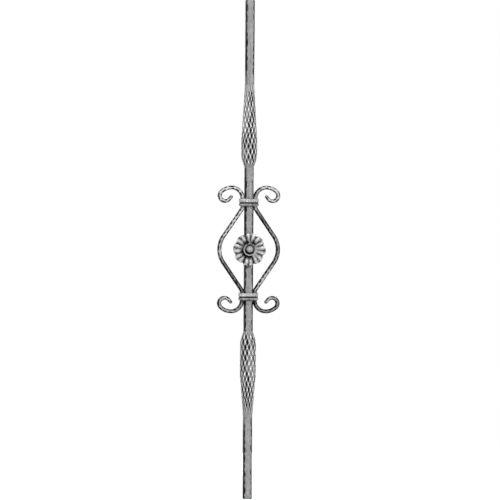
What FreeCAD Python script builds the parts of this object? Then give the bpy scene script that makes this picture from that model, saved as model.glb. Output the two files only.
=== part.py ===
"""Forged iron stair baluster.

A hammered square bar carries two swellings with a criss-cross net of raised strands. Two lyre-shaped
scrolls stand against its sides, held by two moulded collars, and a riveted rosette sits on its front.

Frame: origin at the centre of the bar's bottom end, +Z up along the bar, the rosette's side faces -Y.
"""
import FreeCAD, Part
import math
import os

import Sketcher

Vector = FreeCAD.Vector
doc = FreeCAD.newDocument("stair_baluster")

# Driving dimensions, in millimetres and degrees
SIZES = [
    ("bar_length", 900, "bar, end to end"),
    ("bar_side", 16, "side of the square bar"),
    ("end_chamfer", 1, "chamfer round both ends of the bar"),
    ("edge_flat", 2.6, "width of a hammered corner at the crest between two dents"),
    ("dent_pitch", 15, "mean length of a hammer dent along a corner"),
    ("dent_depth", 1.4, "depth of the deepest dent below the crests"),
    ("dent_spread", 0.35, "unevenness of the dents' lengths, as a share"),
    ("swell_start", 148, "middle of the bar to the blunt end of a swelling"),
    ("swell_length", 152, "swelling, blunt end to thin end"),
    ("swell_diameter", 29, "swelling at its thickest, over the strands"),
    ("swell_blunt", 24, "rounded blunt end of a swelling"),
    ("swell_fall", 1, "shape of the fall to the thin end: 1 is straight, more is fuller"),
    ("upper_full", 26, "stretch of the upper swelling at full thickness"),
    ("lower_full", 54, "stretch of the lower swelling at full thickness"),
    ("net_strands", 12, "strands that wind each way round a swelling"),
    ("net_pitch", 19, "height of one diamond of the net"),
    ("pit_depth", 2, "depth of a diamond's pit below the strands"),
    ("swell_root", 2, "stretch at both ends of a swelling that is forged into the bar"),
    ("scroll_thickness", 7, "scroll bar, seen from the front"),
    ("scroll_depth", 12, "scroll bar, front to back"),
    ("scroll_flat", 1.2, "chamfer of the scroll bar's edges at a crest"),
    ("scroll_dent", 1.2, "what a dent adds to that chamfer"),
    ("scroll_step", 5, "crest to dent along a scroll"),
    ("bow_reach", 45.3, "side of the bar to the middle of the scroll bar at the bow"),
    ("bow_radius", 42, "bend of the bow"),
    ("neck_radius", 10, "bend between the bow's arm and the collar"),
    ("neck_gap", 1, "straight stretch of scroll that shows below a collar"),
    ("curl_rise_radius", 20, "curl, from the collar to its top"),
    ("curl_shoulder_radius", 27.5, "curl, over the shoulder"),
    ("curl_shoulder_turn", 42, "turn of the shoulder, degrees"),
    ("curl_eye_radius", 10, "curl, round the eye"),
    ("curl_tip_turn", 50, "turn of the tapered tip, degrees"),
    ("curl_tip_run", 8, "straight end of the tip"),
    ("curl_tip_thickness", 5, "scroll bar at the end of the tip"),
    ("collar_spacing", 170, "middle of the lower collar to middle of the upper one"),
    ("collar_wall", 1.3, "strip at the groove between its beads"),
    ("collar_bead", 1.4, "height of a bead above the strip"),
    ("collar_upper_bead", 7, "width of the upper bead"),
    ("collar_lower_bead", 4.4, "width of the lower bead"),
    ("collar_groove", 2, "groove between the beads"),
    ("collar_corner", 3, "inside radius of the collar's corners"),
    ("collar_seam", 0.6, "gap between the strip's ends at the back"),
    ("rosette_diameter", 60, "rosette, tip to tip"),
    ("rosette_turn", -4.5, "turn of the rosette on its rivet, degrees"),
    ("petal_count", 8, "petals of the rosette"),
    ("petal_sheet", 2.5, "thickness of the petals' sheet"),
    ("petal_hub", 22, "diameter of the petals' flat middle"),
    ("petal_crown", 0.6, "place of the crown between the flat middle and the tips, as a share"),
    ("petal_rise", 4.5, "height of the petals' crown above the flat middle"),
    ("petal_droop", 2.2, "drop from the crown to the petals' tips"),
    ("petal_notch", 4, "depth of the notch between two petals"),
    ("petal_crease", 1.2, "depth of the crease along a petal"),
    ("petal_valley", 2, "depth of the valley between two petals"),
    ("cup_diameter", 22.6, "outside of the cup at its flared rim"),
    ("cup_gap", 0.9, "gap between the rivet's head and the foot of the cup's wall"),
    ("cup_sheet", 1.2, "thickness of the cup's sheet"),
    ("cup_height", 4.8, "cup, underside to rim"),
    ("rivet_head", 14.4, "diameter of the rivet's domed head"),
    ("rivet_dome", 4.6, "height of the rivet's dome"),
    ("rivet_shank", 6, "diameter of the rivet's shank"),
    ("rivet_tail", 9, "diameter of the rivet's countersunk tail"),
    ("rivet_flats", 12, "hammer flats round the rivet's head and tail"),
    ("rivet_clearance", 0.1, "gap round the rivet's shank"),
]

sheet = doc.addObject("Spreadsheet::Sheet", "Sizes")
for row, (alias, value, meaning) in enumerate(SIZES, start=1):
    sheet.set(f"A{row}", meaning)
    sheet.set(f"B{row}", str(value))
    sheet.setAlias(f"B{row}", alias)
doc.recompute()


def size(alias):
    """Value of one driving dimension."""
    return float(sheet.get(alias))


# Values that several pieces share
half_side = size("bar_side") / 2
middle = size("bar_length") / 2
collar_height = size("collar_upper_bead") + size("collar_groove") + size("collar_lower_bead")
shank_hole = size("rivet_shank") / 2 + size("rivet_clearance")
GOLDEN_ANGLE = math.radians(137.5)


def wobble(step, phase):
    """Uneven but repeatable value from -1 to 1, for handwork that is never quite regular."""
    return math.sin(step * GOLDEN_ANGLE + phase)


def uneven(step, phase):
    """Share of a full hammer blow, from about a third to all of it."""
    weakest = 0.35
    return weakest + (1 - weakest) * (1 + wobble(step, phase)) / 2


def origin_feature(body, role):
    """One of a body's own origin planes or axes."""
    return next(feature for feature in body.Origin.OriginFeatures if feature.Role == role)


def sketch_on(body, role, name, offset=FreeCAD.Placement()):
    """Empty sketch on one of the body's origin planes."""
    sketch = body.newObject("Sketcher::SketchObject", name)
    sketch.AttachmentSupport = [(origin_feature(body, role), "")]
    sketch.MapMode = "FlatFace"
    sketch.AttachmentOffset = offset
    return sketch


def draw_loop(sketch, points):
    """Closed outline of straight lines, joined at its corners."""
    corners = [Vector(x, y, 0) for x, y in points]
    first = sketch.GeometryCount
    for start, end in zip(corners, corners[1:] + corners[:1]):
        sketch.addGeometry(Part.LineSegment(start, end), False)
    count = len(corners)
    for i in range(count):
        following = first + (i + 1) % count
        sketch.addConstraint(Sketcher.Constraint("Coincident", first + i, 2, following, 1))


def bind(sketch, constraint, name, expression):
    """Add a named dimension to a sketch and tie it to the sheet."""
    index = sketch.addConstraint(constraint)
    sketch.renameConstraint(index, name)
    sketch.setExpression(f"Constraints.{name}", expression)


def draw_square(sketch):
    """Square of the bar's side, centred on the sketch's origin."""
    draw_loop(sketch, [(-half_side, -half_side), (half_side, -half_side),
                       (half_side, half_side), (-half_side, half_side)])
    for line in (0, 2):
        sketch.addConstraint(Sketcher.Constraint("Horizontal", line))
    for line in (1, 3):
        sketch.addConstraint(Sketcher.Constraint("Vertical", line))
    sketch.addConstraint(Sketcher.Constraint("Equal", 0, 1))
    sketch.addConstraint(Sketcher.Constraint("Symmetric", 0, 1, 1, 2, -1, 1))
    bind(sketch, Sketcher.Constraint("Distance", 0, 2 * half_side), "side", "Sizes.bar_side")


def draw_dented_corner(sketch, phase):
    """Outline of what the hammer takes off one corner: a row of shallow dents that meet in crests."""
    half_diagonal = half_side * math.sqrt(2)
    crest = half_diagonal - size("edge_flat") / 2
    outside = half_diagonal + size("edge_flat")
    bottom = -size("dent_pitch")
    top = size("bar_length") + size("dent_pitch")
    count = max(3, round((top - bottom) / size("dent_pitch")))
    shares = [1 + size("dent_spread") * wobble(step, phase) for step in range(count)]
    scale = (top - bottom) / sum(shares)
    level = bottom
    outline = [(outside, top), (outside, bottom), (crest, bottom)]
    for step, share in enumerate(shares):
        depth = size("dent_depth") * uneven(2 * step, phase + 1)
        outline.append((crest - depth, level + share * scale / 2))
        level += share * scale
        outline.append((crest, level))
    draw_loop(sketch, outline)


def swelling_base(up):
    """Height of a swelling's blunt end; up is 1 for the upper swelling and -1 for the lower."""
    return middle + up * size("swell_start")


def make_bar_stock():
    """Square bar with chamfered ends, hammered corners, the rivet's hole, and necks under the swellings."""
    body = doc.addObject("PartDesign::Body", "bar_stock")
    square = sketch_on(body, "XY_Plane", "bar_section")
    draw_square(square)
    pad = body.newObject("PartDesign::Pad", "bar_pad")
    pad.Profile = square
    pad.setExpression("Length", "Sizes.bar_length")
    doc.recompute()

    ends = [f"Edge{i}" for i, edge in enumerate(pad.Shape.Edges, start=1)
            if abs(edge.Vertexes[0].Z - edge.Vertexes[-1].Z) < half_side]
    chamfer = body.newObject("PartDesign::Chamfer", "end_chamfers")
    chamfer.Base = (pad, ends)
    chamfer.setExpression("Size", "Sizes.end_chamfer")

    for corner in range(4):
        turn = FreeCAD.Rotation(Vector(0, 1, 0), 45 + 90 * corner)
        outline = sketch_on(body, "XZ_Plane", f"corner_{corner}", FreeCAD.Placement(Vector(), turn))
        draw_dented_corner(outline, phase=corner)
        pocket = body.newObject("PartDesign::Pocket", f"hammered_corner_{corner}")
        pocket.Profile = outline
        pocket.SideType = "Symmetric"
        pocket.setExpression("Length", "2 * Sizes.bar_side")

    core = half_side - size("pit_depth") - size("edge_flat") / 2
    for name, up in (("upper", 1), ("lower", -1)):
        blunt = swelling_base(up) + up * size("swell_root") / 2
        thin = swelling_base(up) + up * (size("swell_length") - size("swell_root") / 2)
        neck = sketch_on(body, "XZ_Plane", f"{name}_neck")
        outside = size("bar_side")
        draw_loop(neck, [(core, blunt), (outside, blunt), (outside, thin), (core, thin)])
        groove = body.newObject("PartDesign::Groove", f"{name}_neck_groove")
        groove.Profile = neck
        groove.ReferenceAxis = (neck, ["V_Axis"])
        groove.Angle = 360

    back = FreeCAD.Placement(Vector(0, middle, -half_side), FreeCAD.Rotation())
    hole = sketch_on(body, "XZ_Plane", "rivet_hole", back)
    hole.setExpression("AttachmentOffset.Base.y", "Sizes.bar_length / 2")
    hole.setExpression("AttachmentOffset.Base.z", "-Sizes.bar_side / 2")
    hole.addGeometry(Part.Circle(Vector(), Vector(0, 0, 1), shank_hole), False)
    hole.addConstraint(Sketcher.Constraint("Coincident", 0, 3, -1, 1))
    hole.addConstraint(Sketcher.Constraint("Radius", 0, shank_hole))
    doc.recompute()
    bore = body.newObject("PartDesign::Hole", "rivet_bore")
    bore.Profile = hole
    bore.DepthType = "ThroughAll"
    bore.Reversed = True
    bore.HoleCutType = "Countersink"
    bore.HoleCutCustomValues = True
    bore.HoleCutCountersinkAngle = 90
    bore.setExpression("Diameter", "Sizes.rivet_shank + 2 * Sizes.rivet_clearance")
    bore.setExpression("HoleCutDiameter", "Sizes.rivet_tail + 2 * Sizes.rivet_clearance")
    doc.recompute()
    return body


def swelling_share(along, full):
    """How far a swelling stands out of the bar, from 0 to 1, at a distance from its blunt end."""
    blunt = size("swell_blunt")
    taper = size("swell_length") - blunt - full
    if along <= blunt:
        return math.sin(math.pi / 2 * along / blunt)
    if along <= blunt + full:
        return 1.0
    left = (size("swell_length") - along) / taper
    return 1 - (1 - left) ** size("swell_fall")


def section_radius(angle, share):
    """Outline of a swelling at one angle: the hammered square at its ends, round at its thickest."""
    across = abs(math.cos(angle)) + abs(math.sin(angle))
    longest = max(abs(math.cos(angle)), abs(math.sin(angle)))
    cut_corner = half_side * math.sqrt(2) - size("edge_flat") / 2 - size("dent_depth")
    square = min(half_side / longest, cut_corner * math.sqrt(2) / across)
    return square + share * (size("swell_diameter") / 2 - square)


def faceted_solid(facets):
    """Closed solid from flat facets, each given by its corners."""
    faces = [Part.Face(Part.makePolygon([*corners, corners[0]])) for corners in facets]
    shell = Part.makeShell(faces)
    shell.sewShape()
    solid = Part.makeSolid(shell)
    if solid.Volume < 0:
        solid.reverse()
    return solid


def make_swelling(name, up, full):
    """Swelling with its net: every diamond between four strands is sunk to a pit in its middle."""
    columns = 2 * max(3, round(size("net_strands")))
    rows = 2 * max(2, round(size("swell_length") / size("net_pitch")))
    row_height = size("swell_length") / rows

    def point(column, row, sunk=0.0):
        angle = 2 * math.pi * column / columns
        share = swelling_share(row * row_height, full)
        radius = section_radius(angle, share) - sunk
        level = swelling_base(up) + up * row * row_height
        return Vector(radius * math.cos(angle), radius * math.sin(angle), level)

    def rooted(column, row, way):
        inside = point(column, row, sunk=size("pit_depth") / 4)
        return inside + Vector(0, 0, way * size("swell_root"))

    facets = []
    for row in range(rows + 1):
        for column in range((row + 1) % 2, columns, 2):
            sunk = size("pit_depth") if 0 < row < rows else 0.0
            pit = point(column, row, sunk)
            ring = [(column + 1, row), (column, row + 1), (column - 1, row), (column, row - 1)]
            for (c1, r1), (c2, r2) in zip(ring, ring[1:] + ring[:1]):
                if 0 <= min(r1, r2) and max(r1, r2) <= rows:
                    facets.append([pit, point(c1, r1), point(c2, r2)])
    for row, way in ((0, -up), (rows, up)):
        rim = [rooted(column, row, way) for column in range(columns)]
        facets.append(rim)
        for column in range(columns):
            a, b = point(column, row), point(column + 1, row)
            c, d = rim[(column + 1) % columns], rim[column]
            facets.append([a, b, c])
            facets.append([a, c, d])

    swelling = doc.addObject("Part::Feature", name)
    swelling.Shape = faceted_solid(facets)
    return swelling


def make_main_bar():
    """The bar and its two swellings, one forging."""
    stock = make_bar_stock()
    upper = make_swelling("upper_swelling", 1, size("upper_full"))
    lower = make_swelling("lower_swelling", -1, size("lower_full"))
    bar = doc.addObject("Part::MultiFuse", "main_bar")
    bar.Shapes = [stock, upper, lower]
    bar.Refine = False
    return bar


def scroll_moves():
    """Upper half of a scroll's centreline, from the bow: (length or radius, turn, end thickness, hammered).

    A turn of None is a straight run; a turn in degrees is a bend, to the left where it is positive.
    The straight run that the collar holds isn't hammered, so that bar, scroll and collar meet flat.
    """
    thick = size("scroll_thickness")
    neck = half_side + thick / 2
    bow, bend = size("bow_radius"), size("neck_radius")
    straight_from = (size("collar_spacing") - collar_height) / 2 - size("neck_gap")
    across = neck + bend - (half_side + size("bow_reach") - bow)
    span = math.hypot(across, straight_from)
    lean = math.atan2(straight_from, across) + math.asin((bow + bend) / span)
    turn = math.degrees(lean) - 90
    arm = math.sqrt(span ** 2 - (bow + bend) ** 2)
    tip = size("curl_tip_thickness")
    tip_start = (thick + tip) / 2
    shoulder = size("curl_shoulder_turn")
    return [
        (bow, turn, thick, True),
        (arm, None, thick, True),
        (bend, -turn, thick, True),
        (collar_height + size("neck_gap"), None, thick, False),
        (size("curl_rise_radius"), -90, thick, True),
        (size("curl_shoulder_radius"), -shoulder, thick, True),
        (size("curl_eye_radius"), shoulder - 180, thick, True),
        (size("curl_eye_radius"), -size("curl_tip_turn"), tip_start, True),
        (size("curl_tip_run"), None, tip, True),
    ]


def travel(place, heading, move, share):
    """Place and heading, in radians, after a share of one move."""
    length, turn = move[:2]
    if turn is None:
        return place + Vector(math.cos(heading), math.sin(heading), 0) * length * share, heading
    side = 1 if turn > 0 else -1
    centre = place + Vector(-math.sin(heading), math.cos(heading), 0) * side * length
    heading += math.radians(turn) * share
    return centre + Vector(math.sin(heading), -math.cos(heading), 0) * side * length, heading


def scroll_stations():
    """Stations up one half of a scroll: (place, heading, thickness, whether it is a dent)."""
    largest_turn = 12
    place = Vector(half_side + size("bow_reach"), 0, 0)
    heading = math.pi / 2
    thick = size("scroll_thickness")
    stations = [(place, heading, thick, False)]
    for move in scroll_moves():
        length, turn, end_thick, hammered = move
        steps = 1
        if hammered:
            run = length if turn is None else length * abs(math.radians(turn))
            steps = max(steps, round(run / size("scroll_step")), math.ceil(abs(turn or 0) / largest_turn))
        for step in range(1, steps + 1):
            spot, facing = travel(place, heading, move, step / steps)
            dented = step % 2 == 1 and step < steps
            stations.append((spot, facing, thick + (end_thick - thick) * step / steps, dented))
        place, heading = travel(place, heading, move, 1)
        thick = end_thick
    return stations


def scroll_ring(station, number, hand, flip):
    """Section of a scroll bar at one station, with its four edges hammered off unevenly."""
    place, heading, thick, dented = station
    half, deep = thick / 2, size("scroll_depth") / 2
    out = Vector(-math.sin(heading), math.cos(heading), 0)
    ring = []
    for corner, (u, v) in enumerate(((1, -1), (1, 1), (-1, 1), (-1, -1))):
        cut = size("scroll_flat")
        if dented:
            cut += size("scroll_dent") * uneven(number, corner + flip)
        cut = min(cut, half)
        pair = [(u * half, v * (deep - cut)), (u * (half - cut), v * deep)]
        ring += pair if u * v > 0 else pair[::-1]
    spots = [(place + out * u, v) for u, v in ring]
    return [Vector(hand * spot.x, depth, flip * spot.y) for spot, depth in spots]


def skin(rings):
    """Facets of a solid that runs through a row of like sections, with flat ends."""
    facets = [rings[0], rings[-1]]
    for lower, upper in zip(rings, rings[1:]):
        count = len(lower)
        for i in range(count):
            j = (i + 1) % count
            facets += [[lower[i], lower[j], upper[j]], [lower[i], upper[j], upper[i]]]
    return facets


def make_scroll(name, hand):
    """One scroll, hammered along its edges; hand is 1 for the right scroll and -1 for the left."""
    stations = scroll_stations()
    upper = [scroll_ring(station, i, hand, 1) for i, station in enumerate(stations)]
    lower = [scroll_ring(station, i, hand, -1) for i, station in enumerate(stations)]
    scroll = doc.addObject("Part::Feature", name)
    scroll.Shape = faceted_solid(skin(lower[:0:-1] + upper))
    scroll.setExpression("Placement.Base.z", "Sizes.bar_length / 2")
    return scroll


def collar_profile():
    """Section of a collar's strip, as (distance out, height): a flat back and two rounded beads."""
    bead_facets = 5
    wall, bead = size("collar_wall"), size("collar_bead")
    bottom = -collar_height / 2
    points = [(0, -bottom), (0, bottom)]
    for width in (size("collar_lower_bead"), size("collar_upper_bead")):
        for step in range(bead_facets + 1):
            angle = math.pi * step / bead_facets
            points.append((wall + bead * math.sin(angle), bottom + width / 2 * (1 - math.cos(angle))))
        bottom += width + size("collar_groove")
    return points


def draw_collar_path(sketch):
    """Way round the bar and both scrolls, from the seam at the back to the seam again."""
    bend_facets = 4
    seam, corner = size("collar_seam") / 2, size("collar_corner")
    wide, deep = half_side + size("scroll_thickness"), half_side
    spots = [Vector(seam, deep, 0)]
    for quarter, (x_way, y_way) in enumerate(((1, 1), (1, -1), (-1, -1), (-1, 1))):
        centre = Vector(x_way * (wide - corner), y_way * (deep - corner), 0)
        for step in range(bend_facets + 1):
            angle = math.radians(90 - 90 * quarter - 90 * step / bend_facets)
            spots.append(centre + Vector(math.cos(angle), math.sin(angle), 0) * corner)
    spots.append(Vector(-seam, deep, 0))
    for start, end in zip(spots, spots[1:]):
        sketch.addGeometry(Part.LineSegment(start, end), False)


def make_collar(name, up):
    """One collar: its moulded strip swept round bar and scrolls."""
    body = doc.addObject("PartDesign::Body", name)
    path = sketch_on(body, "XY_Plane", f"{name}_path")
    draw_collar_path(path)
    section = sketch_on(body, "YZ_Plane", f"{name}_section",
                        FreeCAD.Placement(Vector(0, 0, size("collar_seam") / 2), FreeCAD.Rotation()))
    draw_loop(section, [(half_side + out, height) for out, height in collar_profile()])
    sweep = body.newObject("PartDesign::AdditivePipe", f"{name}_sweep")
    sweep.Profile = section
    sweep.Spine = (path, [f"Edge{i}" for i in range(1, path.GeometryCount + 1)])
    sweep.Transition = "Right corner"
    body.setExpression("Placement.Base.z", f"Sizes.bar_length / 2 + {up} * Sizes.collar_spacing / 2")
    return body


def petal_height(radius, beside):
    """Height of the petals' front face above the flat middle.

    beside runs from 0 on a petal's crease to 1 in the valley between two petals.
    """
    hub, tip = size("petal_hub") / 2, size("rosette_diameter") / 2
    out = (radius - hub) / (tip - hub)
    crown = size("petal_crown")
    if out <= crown:
        profile = size("petal_rise") * math.sin(math.pi / 2 * out / crown)
    else:
        fall = (out - crown) / (1 - crown)
        profile = size("petal_rise") - size("petal_droop") * fall ** 2
    relief = size("petal_crease") * max(0, 1 - 3 * beside)
    relief += size("petal_valley") * max(0, 3 * beside - 2)
    return profile - relief * min(1, 2 * out)


def make_rosette_petals():
    """Pressed disc of creased petals with a flat middle, the same sheet thickness everywhere."""
    petals = max(3, round(size("petal_count")))
    lanes = 6
    columns = petals * lanes
    rings = 6
    hub, tip = size("petal_hub") / 2, size("rosette_diameter") / 2
    sheet_thickness = size("petal_sheet")

    def point(column, ring, front):
        angle = 2 * math.pi * column / columns
        lane = column % lanes
        beside = min(lane, lanes - lane) / (lanes / 2)
        if ring == 0:
            radius, height = shank_hole, 0.0
        else:
            reach = tip - size("petal_notch") * beside ** 3
            radius = hub + (reach - hub) * (ring - 1) / (rings - 1)
            height = petal_height(radius, beside)
        depth = -height - (sheet_thickness if front else 0)
        return Vector(radius * math.cos(angle), depth, radius * math.sin(angle))

    facets = []
    for column in range(columns):
        for ring in range(rings):
            for front in (True, False):
                a, b = point(column, ring, front), point(column + 1, ring, front)
                c, d = point(column + 1, ring + 1, front), point(column, ring + 1, front)
                facets += [[a, b, c], [a, c, d]]
        for ring in (0, rings):
            a, b = point(column, ring, True), point(column + 1, ring, True)
            c, d = point(column + 1, ring, False), point(column, ring, False)
            facets += [[a, b, c], [a, c, d]]

    disc = doc.addObject("Part::Feature", "rosette_petals")
    disc.Shape = faceted_solid(facets)
    return disc


def make_turned(name, points):
    """Body turned about the rosette's axis from an outline of (radius, height above the bar) points."""
    body = doc.addObject("PartDesign::Body", name)
    outline = sketch_on(body, "XY_Plane", f"{name}_outline")
    draw_loop(outline, [(radius, -height) for radius, height in points])
    turned = body.newObject("PartDesign::Revolution", f"{name}_turned")
    turned.Profile = outline
    turned.ReferenceAxis = (outline, ["V_Axis"])
    turned.Angle = 360
    return body


def make_rosette_cup():
    """Flared cup that stands on the petals' flat middle, round the rivet's head."""
    floor = size("petal_sheet")
    rim = floor + size("cup_height")
    outside = size("cup_diameter") / 2
    inside = outside - size("cup_sheet")
    seat = floor + size("cup_sheet")
    foot = size("rivet_head") / 2 + size("cup_gap")
    return make_turned("rosette_cup", [
        (shank_hole, floor), (foot + size("cup_sheet"), floor), (outside, rim),
        (inside, rim), (foot, seat), (shank_hole, seat),
    ])


def hammered_end(name, rings):
    """Many-sided end of the rivet, through rings of (radius, height above the bar)."""
    flats = max(3, round(size("rivet_flats")))
    angles = [2 * math.pi * step / flats for step in range(flats)]
    end = doc.addObject("Part::Feature", name)
    end.Shape = faceted_solid(skin([
        [Vector(radius * math.cos(angle), -height, radius * math.sin(angle)) for angle in angles]
        for radius, height in rings
    ]))
    return end


def make_rosette_rivet():
    """Rivet through cup, petals and bar: a hammered dome in front, a tail sunk flush in the bar's back."""
    shank = doc.addObject("Part::Cylinder", "rivet_shank")
    shank.Placement = FreeCAD.Placement(Vector(0, 2 * half_side, 0), FreeCAD.Rotation(Vector(1, 0, 0), 90))
    shank.setExpression("Placement.Base.y", "Sizes.bar_side")
    shank.setExpression("Radius", "Sizes.rivet_shank / 2")
    shank.setExpression("Height", "Sizes.bar_side + Sizes.petal_sheet + Sizes.cup_sheet")

    seat = size("petal_sheet") + size("cup_sheet")
    head, dome = size("rivet_head") / 2, size("rivet_dome")
    ball = (head ** 2 + dome ** 2) / (2 * dome)
    slant = math.acos((ball - dome) / ball)
    steps = 4
    rings = []
    for step in range(steps):
        tilt = slant * (1 - step / steps)
        rings.append((ball * math.sin(tilt), seat + dome - ball * (1 - math.cos(tilt))))

    thin, tail = size("rivet_shank") / 2, size("rivet_tail") / 2
    back = -size("bar_side")
    rivet = doc.addObject("Part::MultiFuse", "rosette_rivet")
    rivet.Shapes = [
        shank,
        hammered_end("rivet_dome", rings),
        hammered_end("rivet_tail", [(tail, back), (thin, back + tail - thin)]),
    ]
    rivet.Refine = False
    return rivet


def place_on_front(piece):
    """Seat a piece of the rosette on the bar's front face, at mid-length."""
    turn = FreeCAD.Rotation(Vector(0, 1, 0), -size("rosette_turn"))
    piece.Placement = FreeCAD.Placement(Vector(0, -half_side, middle), turn)
    piece.setExpression("Placement.Base.y", "-Sizes.bar_side / 2")
    piece.setExpression("Placement.Base.z", "Sizes.bar_length / 2")


rosette = [make_rosette_petals(), make_rosette_cup(), make_rosette_rivet()]
for piece in rosette:
    place_on_front(piece)
pieces = [
    make_main_bar(),
    make_scroll("left_scroll", -1),
    make_scroll("right_scroll", 1),
    make_collar("upper_collar", 1),
    make_collar("lower_collar", -1),
    *rosette,
]
doc.recompute()

# Every feature and every finished piece has to be sound before anything is written
for feature in doc.Objects:
    if "Invalid" in feature.State or "Error" in feature.State:
        raise RuntimeError(f"{feature.Label} failed: {feature.State}")
for piece in pieces:
    if piece.Shape.isNull() or not piece.Shape.isValid() or len(piece.Shape.Solids) != 1:
        raise RuntimeError(f"{piece.Label} isn't one sound solid")

os.makedirs("parts", exist_ok=True)
for piece in pieces:
    piece.Shape.exportStep(os.path.join("parts", f"{piece.Label}.step"))
    print(f"{piece.Label}: {piece.Shape.Volume / 1000:.2f} cm3, {len(piece.Shape.Faces)} faces")
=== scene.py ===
# %% [markdown]
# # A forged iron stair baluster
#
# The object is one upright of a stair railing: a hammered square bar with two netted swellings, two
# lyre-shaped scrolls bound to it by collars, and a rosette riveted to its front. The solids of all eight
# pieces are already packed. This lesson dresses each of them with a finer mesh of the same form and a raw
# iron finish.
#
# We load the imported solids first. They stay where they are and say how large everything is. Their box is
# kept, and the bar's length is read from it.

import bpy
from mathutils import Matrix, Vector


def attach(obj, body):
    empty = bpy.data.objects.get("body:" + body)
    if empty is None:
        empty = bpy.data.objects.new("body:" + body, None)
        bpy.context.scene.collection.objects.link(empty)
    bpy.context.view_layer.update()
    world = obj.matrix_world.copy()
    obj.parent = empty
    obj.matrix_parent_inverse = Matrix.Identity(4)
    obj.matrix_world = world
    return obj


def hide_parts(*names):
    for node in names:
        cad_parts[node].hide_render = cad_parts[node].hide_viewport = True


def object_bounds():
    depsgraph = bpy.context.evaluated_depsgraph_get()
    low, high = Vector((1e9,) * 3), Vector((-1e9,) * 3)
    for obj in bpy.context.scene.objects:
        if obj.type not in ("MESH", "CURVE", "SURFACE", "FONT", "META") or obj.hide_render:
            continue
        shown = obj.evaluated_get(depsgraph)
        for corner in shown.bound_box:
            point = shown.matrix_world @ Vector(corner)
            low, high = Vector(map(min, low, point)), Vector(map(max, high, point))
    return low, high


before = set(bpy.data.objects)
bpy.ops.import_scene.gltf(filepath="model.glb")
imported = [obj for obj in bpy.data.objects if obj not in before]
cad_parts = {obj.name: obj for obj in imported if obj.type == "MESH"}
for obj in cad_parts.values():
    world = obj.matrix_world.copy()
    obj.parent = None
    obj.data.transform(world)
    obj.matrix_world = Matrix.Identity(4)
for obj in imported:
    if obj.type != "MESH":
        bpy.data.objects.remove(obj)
cad_box = [list(corner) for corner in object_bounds()]

import math

import bmesh
import bpy
import numpy as np
from mathutils import Matrix, Vector

MM = 0.001


def in_mm(box):
    """The corners of a box in millimetres, rounded for reading."""
    return [[round(value / MM, 1) for value in corner] for corner in box]


print("solids:", ", ".join(sorted(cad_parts)))
print("box in mm:", in_mm(cad_box))

# %% [markdown]
# ## Sums as nodes
#
# Geometry Nodes can work out a shape from a formula, but a formula of fifty Math nodes is hard to read when
# each node is placed by hand. A small class helps: a Wire stands for one number on its way through the tree,
# and adding or multiplying two wires puts the Math node there for us. The outcome is an ordinary tree that
# can be opened and changed.

# %% Wires: numbers on their way through a node tree


def plug(tree, value, socket):
    """Give a socket a wire or a fixed value."""
    if isinstance(value, Wire):
        tree.links.new(value.socket, socket)
    else:
        socket.default_value = value


class Wire:
    """One number, or vector, that a node puts out. Sums on wires add Math nodes."""

    def __init__(self, socket):
        self.socket = socket
        self.tree = socket.id_data

    def math(self, operation, *others):
        node = self.tree.nodes.new("ShaderNodeMath")
        node.operation = operation
        for value, socket in zip((self, *others), node.inputs):
            plug(self.tree, value, socket)
        return Wire(node.outputs[0])

    def __add__(self, other):
        return self.math("ADD", other)

    def __sub__(self, other):
        return self.math("SUBTRACT", other)

    def __mul__(self, other):
        return self.math("MULTIPLY", other)

    def __truediv__(self, other):
        return self.math("DIVIDE", other)

    def __neg__(self):
        return self.math("MULTIPLY", -1.0)

    def __rsub__(self, other):
        return -self + other

    __radd__ = __add__
    __rmul__ = __mul__


def held(value):
    """The value kept between 0 and 1."""
    kept = value + 0.0
    kept.socket.node.use_clamp = True
    return kept


def eased(value):
    """The value kept between 0 and 1, with a soft start and end."""
    share = held(value)
    return share * share * (3.0 - share * 2.0)


def between(low, high, share):
    """The low value where share is 0, the high one where it is 1, and a mixture in between."""
    return low + (high - low) * share


def root(value):
    """Square root of what is above zero."""
    return value.math("MAXIMUM", 0.0).math("SQRT")


# %% [markdown]
# Some nodes come back in every tree: the place of a point, a vector put together or taken apart, and noise.
# A helper for each keeps the formulas short. Patches are a slow noise with its contrast turned up, so that
# most of it is either 0 or 1. They say where scale, painted shade or hard blows lie.

# %% Helpers for single nodes


def add_node(tree, kind, outlet=0, settings=None, **inputs):
    """Put a node into a tree, with settings and inputs by name, and give back one of its outlets."""
    node = tree.nodes.new(kind)
    for name, value in (settings or {}).items():
        setattr(node, name, value)
    for name, value in inputs.items():
        plug(tree, value, node.inputs[name.replace("_", " ")])
    return Wire(node.outputs[outlet])


def split(tree, vector):
    """The three numbers of a vector."""
    node = add_node(tree, "ShaderNodeSeparateXYZ", Vector=vector).socket.node
    return [Wire(outlet) for outlet in node.outputs]


def join(tree, x, y, z):
    """A vector of three numbers."""
    return add_node(tree, "ShaderNodeCombineXYZ", X=x, Y=y, Z=z)


def point_place(tree):
    """The three numbers of each point's place before it is moved."""
    return split(tree, add_node(tree, "GeometryNodeInputPosition"))


def noise(tree, place, scale, detail=2.0, **more):
    """Noise between 0 and 1."""
    return add_node(tree, "ShaderNodeTexNoise", Vector=place, Scale=scale, Detail=detail, **more)


def sharpened(value, contrast, threshold):
    """The value with its contrast turned up, kept between 0 and 1."""
    return held(value * contrast - threshold)


def patches(tree, place, contrast, threshold, scale=1.0):
    """Soft-edged patches of 1 on a ground of 0."""
    return eased(noise(tree, place, scale, detail=1.0) * contrast - threshold)


# %% [markdown]
# ## From tree to mesh
#
# Every tree here is used in the same way. Its sizes are named inputs, a fresh object runs it once, and the
# outcome is kept as a plain mesh with the modifier taken off. A finished piece sits at the origin with its
# place in its mesh, as the solids do, so it needs no fitting when it takes the place of one.

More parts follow.
